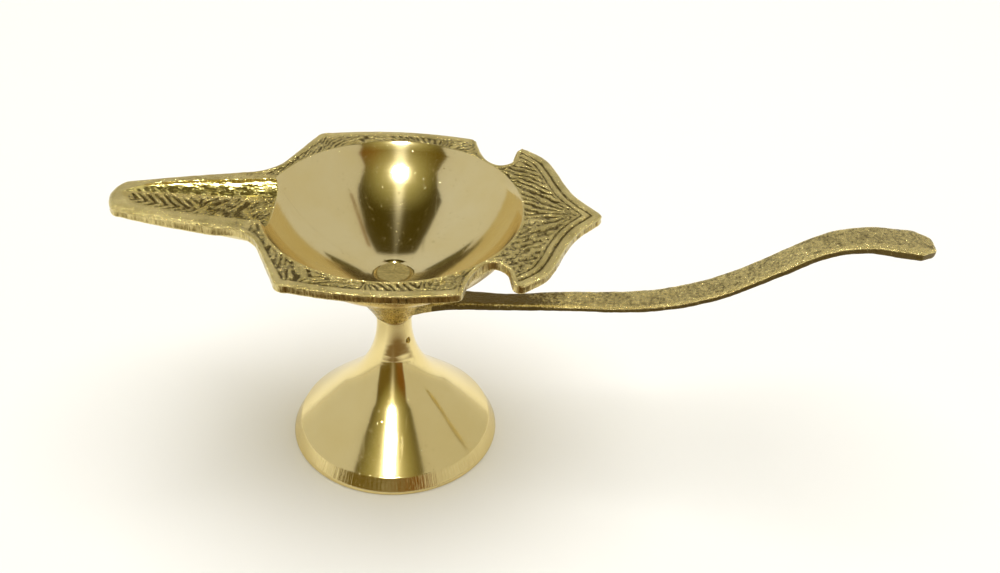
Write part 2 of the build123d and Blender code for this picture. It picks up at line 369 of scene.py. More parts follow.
class Brass:
    """A material under construction: its tree, its place on the object and its running bump."""

    def __init__(self, name):
        self.material = bpy.data.materials.new(name)
        self.material.use_nodes = True
        self.tree = self.material.node_tree
        self.shader = self.tree.nodes["Principled BSDF"]
        self.shader.inputs["Metallic"].default_value = 1.0
        self.place = self.node("ShaderNodeTexCoord", output="Object")
        self.x, self.y, self.z = axes_of(self.tree, self.place)
        self.normal = None

    def node(self, kind, settings=None, sockets=None, output=0):
        return add_node(self.tree, kind, settings, sockets, output)

    def noise(self, scale, detail=2.0, stretch=(1, 1, 1), place=None, roughness=0.5):
        """Noise in [0, 1] with so many grains to a metre, after stretching the coordinates."""
        sockets = {"Vector": place or self.place, "Scale": stretch}
        spot = self.node("ShaderNodeMapping", None, sockets)
        sockets = {"Vector": spot, "Scale": scale, "Detail": detail, "Roughness": roughness}
        return self.node("ShaderNodeTexNoise", None, sockets)

    def mix(self, factor, first, second):
        """Blend of two colours in this material."""
        return tint(self.tree, factor, first, second)

    def bump(self, height, depth, strength=1.0):
        """Adds a layer of bump, depth in mm, on top of the layers before it."""
        sockets = {"Height": height, "Distance": depth * MM, "Strength": strength}
        if self.normal:
            sockets["Normal"] = self.normal
        self.normal = self.node("ShaderNodeBump", None, sockets)

    def finish(self, colour, roughness):
        """Joins what was built to the shader."""
        fed = {"Base Color": colour, "Roughness": roughness, "Normal": self.normal}
        for name, value in fed.items():
            feed(self.tree, self.shader.inputs[name], value)
        return self.material


# %% [markdown]
# ## The finishes
#
# Chased brass is the cast top of the rim, worked over with punches. Its grain is fine and its low
# places are dark. Turned brass was held against a cloth wheel while it spun, so faint rings run
# round the axis and a highlight is drawn out across them. Filed brass has upright strokes. Sand
# brass is the skin of the casting, brushed but not levelled. Burnished brass is the one wall of
# the wick channel that was rubbed bright.

# %% Chased and sand-cast brass
def cast_brass(name, speck_scale):
    """The start of both: the tarnish number, which is the depth of cut on the bowl and also holds
    painted shade on the handle, and grain and specks that are in the bump as well.
    """
    brass = Brass(name)
    tarnish_and_shade = brass.node("ShaderNodeAttribute", {"attribute_name": "tarnish_and_shade"}, output="Fac")
    grain = brass.noise(1500, 4, roughness=0.65)
    speck = brass.noise(speck_scale, 2)
    brass.bump(grain, 0.45)
    brass.bump(speck, 0.16)
    return brass, tarnish_and_shade, grain, speck


def chased_brass():
    """Pale metal on the high places, tarnish by depth of cut, punched grain as bump."""
    brass, tarnish_and_shade, grain, speck = cast_brass("chased_brass", 3600)
    cloud = brass.noise(160, 2)
    low_grain = (1 - grain).between(0.44, 0.62)
    dirt_and_shade = (tarnish_and_shade * 0.9 + low_grain * 0.4).between(0.45, 0.85)
    clean = brass.mix(cloud.between(0.3, 0.7), (0.96, 0.81, 0.36, 1), OLIVE)
    colour = brass.mix(dirt_and_shade * 0.95, clean, TARNISH_AND_SHADE)
    return brass.finish(colour, tarnish_and_shade * 0.14 + speck * 0.14 + 0.12)


def sand_brass():
    """Cast skin: grain and specks, dark where it is low and bright where a brush reached, and on the
    handle dark with painted shade under the bowl.
    """
    brass, tarnish_and_shade, grain, speck = cast_brass("sand_brass", 3500)
    # on the handle the tarnish number also holds painted shade, the bowl's shadow on the bar's top, so
    # this darkening is partly painted shade there
    dirt_and_shade = ((1 - grain) * 1.5 + tarnish_and_shade * 0.75).between(0.76, 1.22)
    colour = brass.mix(dirt_and_shade * 0.95, (0.93, 0.78, 0.33, 1), TARNISH_AND_SHADE)
    return brass.finish(colour, speck * 0.15 + tarnish_and_shade * 0.1 + 0.18)


# %% Turned brass
def turned_brass(name, rings, depth, roughness, base=PALE, brushed=0.0):
    """Polish with rings: noise of the distance from the axis and the height alone.

    Two reflections are mixed, a clear one from the polish and a faint one that the wheel's
    scratches draw out across themselves. Brushed adds upright strokes on the lowest 4 mm.
    """
    brass = Brass(name)
    radius = (brass.x**2.0 + brass.y**2.0) ** 0.5
    spot = brass.node("ShaderNodeCombineXYZ", None, {0: radius, 1: brass.z})
    fine = brass.noise(rings, 2, place=spot)
    broad = brass.noise(rings / 6, 1, place=spot)
    cloud = brass.noise(90, 3)
    scuff = brass.noise(700, 2, stretch=(1, 0.06, 0.06)).between(0.66, 0.72)
    nick = brass.noise(1300, 1).between(0.72, 0.78)
    colour = brass.mix(cloud.between(0.35, 0.75) * 0.5, base, WARM)
    brass.bump(broad, depth * 2.5)
    brass.bump(fine, depth)
    brass.bump(nick, 0.03)
    if brushed:
        angle = brass.y.math("ARCTAN2", brass.y, brass.x)
        around = brass.node("ShaderNodeCombineXYZ", None, {0: angle * 0.027, 1: radius * 0.1})
        stroke = brass.noise(2400, 3, place=around)
        brass.bump(stroke * (1 - (brass.z / MM).between(4.0, 4.3)), brushed)
    clear = Value(brass.tree, brass.shader.outputs[0])
    brass.finish(colour, fine * 0.04 + cloud * 0.05 + scuff * 0.08 + (roughness - 0.045))
    drawn_sockets = {"Metallic": 1.0, "Anisotropic": 1.0, "Anisotropic Rotation": 0.25}
    drawn = brass.node("ShaderNodeBsdfPrincipled", None, drawn_sockets)
    brass.shader = drawn.socket.node
    drawn_roughness, drawn_share = 0.30, 0.10
    brass.finish(colour, drawn_roughness)
    mixed = brass.node("ShaderNodeMixShader", None, {0: drawn_share, 1: clear, 2: drawn})
    brass.tree.links.new(mixed.socket, brass.tree.nodes["Material Output"].inputs["Surface"])
    return brass.material


# %% Filed and burnished brass
def filed_brass():
    """Upright file strokes: noise drawn out along Z, over the lumps of the casting."""
    brass = Brass("filed_brass")
    stroke = brass.noise(1700, 3, stretch=(1, 1, 0.10))
    lump = brass.noise(420, 3)
    clean = (stroke * 0.8 + lump * 0.5).between(0.42, 0.86)
    colour = brass.mix(clean * 0.9, (0.20, 0.145, 0.035, 1), (0.90, 0.755, 0.34, 1))
    brass.bump(lump, 0.25)
    brass.bump(stroke, 0.16)
    return brass.finish(colour, stroke * 0.15 + 0.20)


def burnished_brass():
    """Cast metal rubbed bright: low waves that catch the light, and torn spots left dark."""
    brass = Brass("burnished_brass")
    wave = brass.noise(420, 2, stretch=(0.5, 1, 1))
    torn = brass.noise(900, 3, stretch=(0.6, 1, 1)).between(0.58, 0.66)
    colour = brass.mix(torn * 0.7, (0.93, 0.81, 0.30, 1), TARNISH_AND_SHADE)
    brass.bump(wave, 0.8)
    brass.bump(torn, 0.12)
    return brass.finish(colour, torn * 0.15 + 0.24)


chased, filed, sand, burnished = chased_brass(), filed_brass(), sand_brass(), burnished_brass()
bowl_polish = turned_brass("bowl_polish", 2600, 0.0045, 0.105)
back_polish = turned_brass("back_polish", 1500, 0.008, 0.24, base=(0.82, 0.68, 0.33, 1))
foot_polish = turned_brass("foot_polish", 2600, 0.003, 0.12, base=(0.86, 0.715, 0.35, 1), brushed=0.09)
bowl_finishes = [chased, bowl_polish, filed, sand, back_polish, burnished]
print("finishes", [material.name for material in bowl_finishes], "and", foot_polish.name)

# %% [markdown]
# ## The rim's outline
#
# Seen from above, the rim is a flat plate: a spout, sides nearly parallel to the bowl, a notch
# for the finger and a leaf with an ogee edge. Half of it is drawn from the leaf's tip round to
# the spout's tip. Each point of the outline is paired with a point of the inner edge, which is
# the bowl's mouth and then the edge of the wick channel.

# %% Half outline
bowl_radius, bowl_depth = 31.6, 19.9
rim_z, seat_z = bowl_high[2], bowl_low[2]
spout_tip_x = bowl_low[0]


def rim_point(angle, land):
    """Plan point a land's width outside the bowl's mouth."""
    return tuple(polar(angle, bowl_radius + land))


leaf_knots = [(1.5, 18.4), (9.1, 14.2), (20.1, 12.6), (35.1, 13.6), (43.5, 12.8)]
leaf_line = smooth_through([rim_point(*knot) for knot in leaf_knots])
leaf_line = np.concatenate([[rim_point(0, 18.9)], leaf_line])
lobe_line = round_corner(rim_point(43.5, 12.8), rim_point(44.0, 9.3), 2.0)
notch_knots = [(44.0, 9.3), (40.0, 5.1), (40.9, 1.9), (54.1, 2.9), (60.3, 6.7)]
notch_line = smooth_through([rim_point(*knot) for knot in notch_knots])
side_corner = round_corner(rim_point(60.3, 6.7), rim_point(63.4, 7.5), 2.2)
side_line = arc(rim_point(63.4, 7.5), rim_point(90, 5.3), rim_point(119.4, 8.2))
wing_corner = round_corner(rim_point(119.4, 8.2), rim_point(125.8, 8.2), 3.2)
wing_line = np.array([rim_point(125.8, 8.2), rim_point(145.9, 3.2)])
hollow_line = arc(rim_point(145.9, 3.2), rim_point(153.7, 3.6), rim_point(159.9, 6.7))

# inner angle of the paired point, at the ends of each stretch of outline
mouth_angle = 161.6
stretches = [
    (leaf_line, (0, 27)),
    (lobe_line, (27, 31)),
    (notch_line, (31, 35.5, 42, 52, 58)),
    (side_corner, (58, 61)),
    (side_line, (61, 119)),
    (wing_corner, (119, 125)),
    (wing_line, (125, 145)),
    (hollow_line, (145, mouth_angle)),
]


def paired(line, angles):
    """Inner angle of each point: straight between the ends, or between the knots of a spline."""
    length = run_length(line)
    place = length / length[-1] if len(angles) == 2 else np.linspace(0, 1, len(line))
    return np.interp(place, np.linspace(0, 1, len(angles)), angles)


outline = np.concatenate([line[:-1] for line, _ in stretches] + [hollow_line[-1:]])
inner_angle = np.concatenate([paired(*stretch)[:-1] for stretch in stretches] + [[mouth_angle]])

bowl_cells, channel_cells, tip_cells = 330, 84, 24
bowl_outline, bowl_angle = even(outline, bowl_cells, inner_angle)

tip_setback, tip_half, side_bow = 3.8, 6.5, 0.5
spout_corner = (spout_tip_x + tip_setback, tip_half)
root_x, root_y = hollow_line[-1]
spout_middle = ((spout_corner[0] + root_x) / 2, (tip_half + root_y) / 2 + side_bow)
spout_line = arc(hollow_line[-1], spout_middle, spout_corner)
spout_outline = even(spout_line, channel_cells)[0]
tip_turn = np.linspace(0, np.pi / 2, tip_cells + 1)
tip_x, tip_y = spout_corner[0] - tip_setback * np.sin(tip_turn), tip_half * np.cos(tip_turn)
tip_outline = np.stack([tip_x, tip_y], -1)
half_round = run_length(bowl_outline)[-1] + run_length(spout_outline)[-1]
print("half outline is", round(half_round, 1), "mm round")

# %% [markdown]
# ## The wick channel
#
# The channel is a trough from a point near the spout's tip into the bowl. Across, it is half an
# ellipse whose half width and depth are smooth functions of the place along it. Where it breaks
# into the bowl, a few rounds of substitution find the curve that lies on both surfaces.

# %% Channel and mouth
bowl_sphere = (bowl_radius**2 + bowl_depth**2) / (2 * bowl_depth)
sphere_z = rim_z - bowl_depth + bowl_sphere
edge_drop, channel_setback = 0.12, 3.2
channel_tip_x = spout_tip_x + channel_setback
mouth_x, mouth_half = polar(mouth_angle, bowl_radius)
channel_x = np.array([channel_tip_x, -63, -60, -55, -48.5, -42, -35.5, mouth_x, -24])
channel_half = np.array([0.7, 2.6, 4.6, 6.1, 7.3, 8.3, 9.1, mouth_half, 10.4])
channel_deep = np.array([0.0, 0.55, 1.25, 2.1, 2.9, 3.4, 3.75, 4.0, 4.2])


def along_channel(x, values):
    """Smooth value along the channel: straight runs between stations, averaged over 3 mm."""
    x = np.atleast_2d(x)
    shifts = np.linspace(-1.5, 1.5, 7)[:, None, None] * step(0, 3, x - channel_tip_x)
    return np.interp(x[None] + shifts, channel_x, values).mean(0)


def channel_height(x, y):
    """Half ellipse across: rim height less depth times the square root of 1 - (y / half width)^2."""
    ratio = np.clip(y / along_channel(x, channel_half), -1, 1)
    return rim_z - edge_drop - along_channel(x, channel_deep) * np.sqrt(1 - ratio**2)


def bowl_height(radius):
    """Inside of the bowl: the lower half of a sphere."""
    return sphere_z - np.sqrt(bowl_sphere**2 - radius**2)


across_cells = 2 * tip_cells
spread = np.sin(np.linspace(np.pi / 2, -np.pi / 2, across_cells + 1))
mouth_y = mouth_half * spread
mouth_line_x = np.full(across_cells + 1, mouth_x)
substitutions = 40
for _ in range(substitutions):
    height = channel_height(mouth_line_x, mouth_y)[0]
    reach = np.sqrt(bowl_sphere**2 - (sphere_z - height) ** 2)
    mouth_line_x = 0.5 * mouth_line_x - 0.5 * np.sqrt(reach**2 - mouth_y**2)
mouth = np.stack([mouth_line_x, mouth_y, bowl_height(np.hypot(mouth_line_x, mouth_y))], -1)
mouth[[0, -1], 2] = rim_z - edge_drop
mouth[0, :2], mouth[-1, :2] = polar(mouth_angle, bowl_radius), polar(-mouth_angle, bowl_radius)
print("the channel opens", round(rim_z - mouth[:, 2].min(), 2), "mm below the rim")

# %% [markdown]
# ## The plan grids
#
# The top, the underside and the distances that the pattern needs all use the same plan grids:
# a ring between the outline and the inner edge, a disc for the bowl and a strip for the channel.
# The second half is the first one mirrored, so the ring's columns run right round.

# %% Ring grid
channel_edge_x = np.linspace(mouth_x, channel_tip_x, channel_cells + 1)
channel_edge_y = along_channel(channel_edge_x, channel_half)[0]
channel_edge_y[0] = mouth_half
tip_edge_y = channel_edge_y[-1] * spread[: tip_cells + 1]
tip_edge = np.stack([np.full(tip_cells + 1, channel_tip_x), tip_edge_y], -1)

half_outer = np.concatenate([bowl_outline, spout_outline[1:], tip_outline[1:]])
half_inner = np.concatenate(
    [polar(bowl_angle, bowl_radius), np.stack([channel_edge_x, channel_edge_y], -1)[1:], tip_edge[1:]]
)
spout_station = np.linspace(mouth_angle, 180, channel_cells + tip_cells + 1)[1:]
half_station = np.concatenate([bowl_angle, spout_station])
half = len(half_outer) - 1


def both_halves(values, flip):
    """The half, then its mirror image back to the start, without repeating the two end points."""
    return np.concatenate([values, (values * flip)[-2:0:-1]])


outer = both_halves(half_outer, (1, -1))
inner = both_halves(half_inner, (1, -1))
station = both_halves(half_station, 1)
columns = len(outer)

# a hand-filed edge wanders a little inside the drawn one
tangent = np.roll(outer, -1, 0) - np.roll(outer, 1, 0)
inward = np.stack([-tangent[:, 1], tangent[:, 0]], -1) / np.hypot(*tangent.T)[:, None]
wander = 0.10 + 0.10 * rough(*outer.T, 3.5, 5) + 0.04 * rough(*outer.T, 1.1, 6)
outer = outer + inward * (wander * step(0, 1.5, np.abs(outer[:, 1])))[:, None]


def ring_plan(fine_rows, coarse_rows, fine_reach=5.0):
    """Plan points between the two edges: rows crowd towards the outline, to catch its rounding."""
    length = np.hypot(*(inner - outer).T)
    reach = np.minimum(fine_reach, 0.65 * length)
    near = reach * np.linspace(0, 1, fine_rows + 1)[:, None] ** 1.45
    far = reach + (length - reach) * np.linspace(0, 1, coarse_rows + 1)[1:, None]
    part = np.concatenate([near, far]) / length
    part[-1] = 1.0
    return outer + (inner - outer) * part[..., None], (1 - part) * length


ring, inner_distance = ring_plan(18, 26)


def distance_to(points, line):
    """Shortest plan distance from each point of the grid to a line of close points."""

    def nearest(row):
        return np.hypot(row[:, None, 0] - line[:, 0], row[:, None, 1] - line[:, 1]).min(1)

    return np.array([nearest(row) for row in points])


def edge_points(low, high):
    """Outline points of both halves between two stations, twice as close as the columns."""
    wanted = (station >= low) & (station <= high)
    between = (outer + np.roll(outer, -1, 0)) / 2
    return np.concatenate([outer[wanted], between[wanted & (np.roll(station, -1) <= high)]])


leaf_distance = distance_to(ring, edge_points(0, 28))
notch_distance = distance_to(ring, edge_points(28.5, 58.5))
side_distance = distance_to(ring, edge_points(58.5, 180))
edge_distance = np.minimum(np.minimum(leaf_distance, notch_distance), side_distance)
print("ring of", ring.shape[0], "rows and", columns, "columns")

# %% [markdown]
# ## The chased pattern
#
# A founder cuts this pattern into the model for the casting, and it is sharpened with punches
# afterwards. A smooth band follows the edge, then a groove, and inside it short strokes lie like
# the barbs of a feather. Strokes are a cosine of a phase, and the phase's direction decides which
# way they lean. Round the leaf there are two bands, and from its tip a fan of veins.

# %% Strokes
def strokes(phase, sharpness=0.35):
    """Ridges from -1 to 1, one per unit of phase: a cosine pushed towards its two ends."""
    wave = np.cos(2 * np.pi * phase)
    return np.sign(wave) * np.abs(wave) ** (1 - sharpness)


def leaf_strokes(x, y):
    """Barbs that slant to the axis, and veins that fan out from a point near the leaf's tip."""
    side = np.abs(y)
    wobble = 0.45 * rough(x, y, 3.0, 11) + 0.22 * rough(x, y, 1.3, 13)
    barb = strokes((0.5 * x + 0.87 * side) / 1.85 + wobble)
    fan_x = 44.4
    apex = fan_x - x
    turn = np.arctan2(side, apex)
    fan = strokes(turn / 0.27 + 0.5 + 0.5 * wobble)
    near_axis = step(0.95, 0.7, turn) * step(0.2, 1.5, np.hypot(apex, side)) * step(10.5, 8.0, apex)
    return barb * (1 - near_axis) + fan * near_axis


def rim_strokes(x, y, depth):
    """Hatching along the rim whose lean changes from place to place, as one panel follows another."""
    near_x, far_x = [-24, -18, -12, -4, -1, 9, 12, 16, 19], [-20, -12, -8, 0, 6, 12, 18]
    lean_near = np.interp(x, near_x, [-0.4, -0.3, 1.9, 1.9, -1.0, -1.0, 2.6, 2.6, 1.4])
    lean_far = np.interp(x, far_x, [-1.2, -1.0, 1.3, 1.3, 0.2, -1.2, -1.4])
    lean = np.where(y < 0, lean_near, lean_far)
    wobble = 0.8 * rough(x, y, 2.6, 12) + 0.4 * rough(x, y, 1.2, 14)
    return strokes((x - lean * depth + wobble) / 1.9)


def rounding(radius, distance):
    """How far a rounded edge falls away at a distance from it: a quarter circle."""
    return radius - np.sqrt(radius**2 - np.clip(radius - distance, 0, radius) ** 2)


# %% Relief of the rim
land = np.linalg.norm(inner - outer, axis=1)
edge_round = np.minimum(0.55 + 0.85 * step(160, 172, station), 0.6 * land)
rx, ry = ring[..., 0], ring[..., 1]
on_spout = step(156, 167, station)
bead = np.interp(station, [0, 120, 140, 160, 180], [1.9, 1.9, 1.2, 1.0, 1.0])

bands = 0.50 * groove(leaf_distance, 2.3, 0.36) + 0.50 * groove(leaf_distance, 4.05, 0.34)
bands += 0.10 * groove(leaf_distance, 0.0, 0.8) + 0.06 * groove(leaf_distance, 2.1, 0.5)
bands *= step(0.6, 1.5, notch_distance)
cut = bands + 0.30 * groove(notch_distance, 1.05, 0.24) * step(1.6, 2.6, leaf_distance)
bead_line = groove(side_distance, bead + 0.25, 0.24) * step(0.3, 1.2, notch_distance)
cut = cut + 0.34 * bead_line * (1 - on_spout)

field = step(4.5, 4.9, leaf_distance) * step(1.0, 1.4, notch_distance)
field = field * step(0.15, 0.6, side_distance - bead) * step(0.1, 0.7, inner_distance) * (1 - on_spout)
leafy = step(38, 30, station)
shoulder = step(121, 128, station) * (1 - on_spout)
barbs = leaf_strokes(rx, ry) * leafy * (0.4 + 0.6 * step(-5, 1, ry))
barbs = barbs + rim_strokes(rx, ry, side_distance - bead) * (1 - leafy) * (1 - 0.55 * shoulder)
pits = pebbles(rx, ry, 1.0, 21)
pitted = 0.10 + 0.10 * shoulder + 0.10 * leafy * step(1, -5, ry)
strength = 0.24 * (1 + 0.7 * rough(rx, ry, 2.0, 23))
cut = cut + field * (0.30 - strength * barbs - pitted * pits)

# the spout's lands are crowned and smooth, and grow grainy towards the bowl
middle = np.clip(2 * side_distance / np.maximum(land, 0.1) - 1, -1, 1)
crown = 0.16 * middle**2 * step(0, 0.7, inner_distance)
cut = cut + on_spout * (crown + 0.035 * pebbles(rx, ry, 1.7, 24))
cut = cut + on_spout * step(175, 164, station) * 0.07 * (1 + pebbles(rx, ry, 0.9, 25))
cut = np.maximum(cut, 0) * step(0, 0.35, inner_distance)

fall = rounding(edge_round, edge_distance)
lip = edge_drop * (1 - step(0, 0.2, inner_distance))
ring_top = np.dstack([rx, ry, rim_z - cut - fall - lip])
ring_recess = np.clip((cut - 0.06) / 0.48, 0, 1) * step(0, 0.3, inner_distance)
print("deepest cut", round(float(cut.max()), 2), "mm")

# %% [markdown]
# ## The rest of the bowl casting
#
# The bowl's inside is turned, so it is a clean sphere down to the sunk seat of the stud. The
# channel keeps its chased feather: barbs that meet on the middle line, and rough punched metal
# nearer the bowl. Below, the underside is the lowest of four plain shapes, blended where they
# meet as a casting is: the plate, the bowl's outer sphere, the spout's belly and the boss.

# %% Bowl and channel patches
head_clearance, shank_hole, head_thickness = 0.05, 2.55, 1.3
head_hole = stud_high[0] + head_clearance
head_z = stud_high[2]
bowl_columns = np.arange(-bowl_cells, bowl_cells + 1) % columns


def disc_plan(edge, hole, rows):
    """Straight spokes from an edge line to a round hole, keeping each spoke's own angle."""
    # one more row close to the edge keeps the edge's soft shading narrow
    close_row = 0.004
    part = np.insert(np.linspace(0, 1, rows + 1), 1, close_row)[:, None, None]
    radius = np.hypot(edge[:, 0], edge[:, 1])[:, None]
    return edge * (1 - part) + edge / radius * hole * part


bowl_edge = np.concatenate([inner[bowl_columns], mouth[1:-1, :2]])
bowl_plan = disc_plan(bowl_edge, head_hole, 24)
bowl_z = bowl_height(np.hypot(bowl_plan[..., 0], bowl_plan[..., 1]))
bowl_z[0, : len(bowl_columns)] = rim_z - edge_drop
bowl_z[0, len(bowl_columns):] = mouth[1:-1, 2]
bowl_inside = np.dstack([bowl_plan, bowl_z])

hole_turn = bowl_inside[-1, :, :2] / head_hole
well_floor = head_z - head_thickness
well_radius = np.array([head_hole, head_hole, shank_hole, shank_hole])
well_z = np.array([bowl_height(head_hole), well_floor, well_floor, seat_z])
well = np.dstack([well_radius[:, None, None] * hole_turn, np.tile(well_z[:, None], len(hole_turn))])

strip_x = np.tile(channel_edge_x[:, None], across_cells + 1)
strip_y = channel_edge_y[:, None] * spread
mouth_rows = 16
from_mouth = np.arange(channel_cells + 1)[:, None] / mouth_rows
strip_x = strip_x + (mouth[:, 0] - mouth_x) * (1 - step(0, 1, from_mouth))
strip_plan = np.dstack([strip_x, strip_y])
strip_plan[0] = mouth[:, :2]


def channel_relief(x, y):
    """Feather barbs swept to the tip, fading into coarse punched grain towards the bowl."""
    half_width = along_channel(x.ravel(), channel_half)[0].reshape(x.shape)
    inside = step(1.0, 0.8, np.abs(y) / half_width)
    rachis = -0.7 + 0.4 * rough(x, x * 0, 8.0, 31)
    barb = strokes((x + 1.15 * np.abs(y - rachis)) / 2.35 + 0.2 * rough(x, y, 3.0, 32))
    feather = 0.34 * barb + 0.16 * groove(y, rachis, 0.35)
    scratches = strokes((x - 0.8 * y) / 1.5 + rough(x, y, 2.5, 34))
    coarse = 0.34 * pebbles(x, y, 1.4, 33) + 0.16 * scratches
    to_bowl = step(-53, -44, x)
    burnished = step(0.42, 0.62, y / half_width + 0.14 * pebbles(x, y, 2.0, 35)) * 0.8
    depth = (0.34 + feather) * (1 - to_bowl) + (0.28 + coarse) * to_bowl
    return depth * inside * (1 - burnished) * step(channel_tip_x + 0.5, channel_tip_x + 3, x)


from_bowl = step(0, 1.2, np.abs(strip_x - mouth[:, 0]))
channel_cut = channel_relief(strip_x, strip_y) * from_bowl
smooth_z = channel_height(strip_x.ravel(), strip_y.ravel())[0].reshape(strip_x.shape)
strip_z = smooth_z - channel_cut
strip_z[0] = mouth[:, 2]
strip_z[:, [0, -1]] = rim_z - edge_drop
channel = np.dstack([strip_plan, strip_z])
print("channel patch", channel.shape[:2], "bowl patch", bowl_inside.shape[:2])

# %% Underside
boss_radius, boss_flare, bowl_wall = 11.7, 15.6, 2.0
outer_sphere = bowl_sphere + bowl_wall
belly_x = np.array([-68.2, -66.6, -64.4, -57, -50.2, -42, -34, -28])
belly_half = np.array([2.2, 3.6, 6.2, 8.3, 10.0, 11.3, 12.9, 14.2])
belly_deep = np.array([1.8, 3.1, 4.4, 5.9, 7.0, 7.9, 8.8, 9.4])


def blend_low(first, second, width):
    """The lower of two heights, rounded over where they are within a width of each other."""
    near = np.clip(width - np.abs(first - second), 0, None) / width
    return np.minimum(first, second) - near * near * width / 4


def under_height(points):
    """Lowest of plate, sphere, belly and boss, with small fillets."""
    x, y = points[..., 0], points[..., 1]
    radius = np.hypot(x, y)
    plate_thickness, spout_extra, belly_end = 2.5, 0.8, -27
    plate = rim_z - plate_thickness - spout_extra * step(-34, -42, x)
    sphere = sphere_z - np.sqrt(outer_sphere**2 - np.minimum(radius, 36.0) ** 2)
    across_belly = np.clip(1 - (y / np.interp(x, belly_x, belly_half)) ** 2, 0, 1)
    belly = rim_z - np.interp(x, belly_x, belly_deep) * np.sqrt(across_belly)
    belly = np.where(x > belly_end, rim_z, belly)
    flare_rise = sphere_z - math.sqrt(outer_sphere**2 - boss_flare**2) - seat_z
    boss = seat_z + (radius - boss_radius) * flare_rise / (boss_flare - boss_radius)
    height = blend_low(blend_low(plate, sphere, 1.4), belly, 1.2)
    return np.maximum(np.minimum(height, np.where(radius < boss_flare, boss, height)), seat_z)


under_round = 0.45
under_ring, _ = ring_plan(6, 3, 1.6)
under_edge = distance_to(under_ring, edge_points(0, 180))
under_edge[0] = 0
under_z = under_height(under_ring) + rounding(under_round, under_edge)
sand_grain = pebbles(under_ring[..., 0], under_ring[..., 1], 1.6, 41)
under_z = under_z + 0.05 * sand_grain * step(0, 0.6, under_edge)
under_z[-1] = under_height(under_ring[-1])
under_ring_surface = np.dstack([under_ring, under_z])

under_disc = disc_plan(bowl_edge, shank_hole, 22)
under_disc_surface = np.dstack([under_disc, under_height(under_disc)])
under_strip_surface = np.dstack([strip_plan, under_height(strip_plan)])

side_part = np.linspace(0, 1, 7)[:, None]
side_z = ring_top[0, :, 2] * (1 - side_part) + under_ring_surface[0, :, 2] * side_part
bulge = 0.10 * np.sin(np.pi * side_part) * (1 + rough(*outer.T, 2.0, 42))
side_plan = outer + inward * bulge[..., None] * 0.8
side = np.dstack([side_plan, side_z])

# %% Bowl casting
# each patch's number is its place in bowl_finishes; the channel's first columns are its far wall
far_wall = tip_cells * 7 // 12
casting = Shell()
casting.patch(ring_top, 0, ring_recess, ring=True)
channel_recess = np.clip(channel_cut / 0.52, 0, 1)
casting.patch(channel[:, : far_wall + 1], 5, channel_recess[:, : far_wall + 1])
casting.patch(channel[:, far_wall:], 0, channel_recess[:, far_wall:])
casting.patch(bowl_inside, 1, ring=True)
casting.patch(well, 1, ring=True)
casting.patch(side, 2, ring=True)
casting.patch(under_ring_surface, 3, ring=True)
casting.patch(under_strip_surface, 3)
casting.patch(under_disc_surface, 4, ring=True)
lamp_bowl = casting.piece("bowl_casting", bowl_finishes)
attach(lamp_bowl, "head")
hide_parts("lamp_bowl")

# %% [markdown]
# ## The foot
#
# The foot is turned: a short neck runs into a trumpet and ends in a bevelled rim, and the inside
# is hollow. Its profile is a path of corners, each with its own small rounding, carried once
# round the axis. A little cross hole near the top is cut with a boolean.

# %% Profiles and turning
def rounded_path(corners, radii, pitch):
    """Path through corners, each replaced by a tangent arc; points are at most a pitch apart."""
    corners = np.array(corners, float)

    def straight(start, end):
        return np.linspace(start, end, max(2, int(np.hypot(*(end - start)) / pitch) + 1))

    runs, last = [], corners[0]
    for before, here, after, radius in zip(corners, corners[1:], corners[2:], radii):
        back, on = before - here, after - here
        back, on = back / np.hypot(*back), on / np.hypot(*on)
        half = math.acos(np.clip(back @ on, -1, 1)) / 2
        reach = radius / math.tan(half)
        start, end = here + back * reach, here + on * reach
        centre = here + (back + on) / np.hypot(*(back + on)) * radius / math.sin(half)
        nearest = centre + (here - centre) / np.hypot(*(here - centre)) * radius
        count = max(4, int(radius * (math.pi - 2 * half) / pitch) + 2)
        runs += [straight(last, start)[:-1], arc(start, nearest, end, count)[:-1]]
        last = end
    return np.concatenate([*runs, straight(last, corners[-1])])


def full_turn(count):
    """Angles once round, without the last, which is the first again."""
    return np.linspace(0, 2 * np.pi, count, endpoint=False)


def turned(profile, count=256):
    """Surface of revolution: each profile point (radius, height) goes once round the axis."""
    turn = full_turn(count)
    radius, height = profile[:, 0, None], profile[:, 1, None]
    return np.stack([radius * np.cos(turn), radius * np.sin(turn), height + 0 * turn], -1)


def single(name, points, materials, finish=0):
    """A piece that is one closed patch."""
    shell = Shell()
    shell.patch(points, finish, ring=True)
    return shell.piece(name, materials)


def settle(target):
    """Makes a modifier's result the piece's own mesh."""
    graph = bpy.context.evaluated_depsgraph_get()
    result = bpy.data.meshes.new_from_object(target.evaluated_get(graph))
    target.modifiers.clear()
    target.data = result
    fix_texture_space(result)


def join_solids(target, tool, operation):
    """Exact boolean of two closed pieces; the tool is taken away afterwards."""
    change = target.modifiers.new("boolean", "BOOLEAN")
    change.operation, change.object, change.solver = operation, tool, "EXACT"
    settle(target)
    bpy.data.objects.remove(tool)
    print(target.name, operation.lower(), "->", len(target.data.polygons), "faces")


# %% Foot
foot_radius, bevel_height, bevel_width = foot_high[0], 4.2, 2.2
neck_radius, neck_straight, curve_radius, wall = 4.5, 2.2, 27.4, 2.0
foot_top = foot_high[2]
curve_x, curve_z = neck_radius + curve_radius, foot_top - neck_straight
bevel_x = foot_radius - bevel_width
away = math.atan2(bevel_height - curve_z, bevel_x - curve_x)
far = math.hypot(bevel_height - curve_z, bevel_x - curve_x)
touch = away - math.acos(curve_radius / far) + 2 * math.pi


def trumpet(radius, start, end, count):
    """Arc round the trumpet's centre between two angles."""
    turn = np.linspace(start, end, count)
    return np.stack([curve_x + radius * np.cos(turn), curve_z + radius * np.sin(turn)], -1)


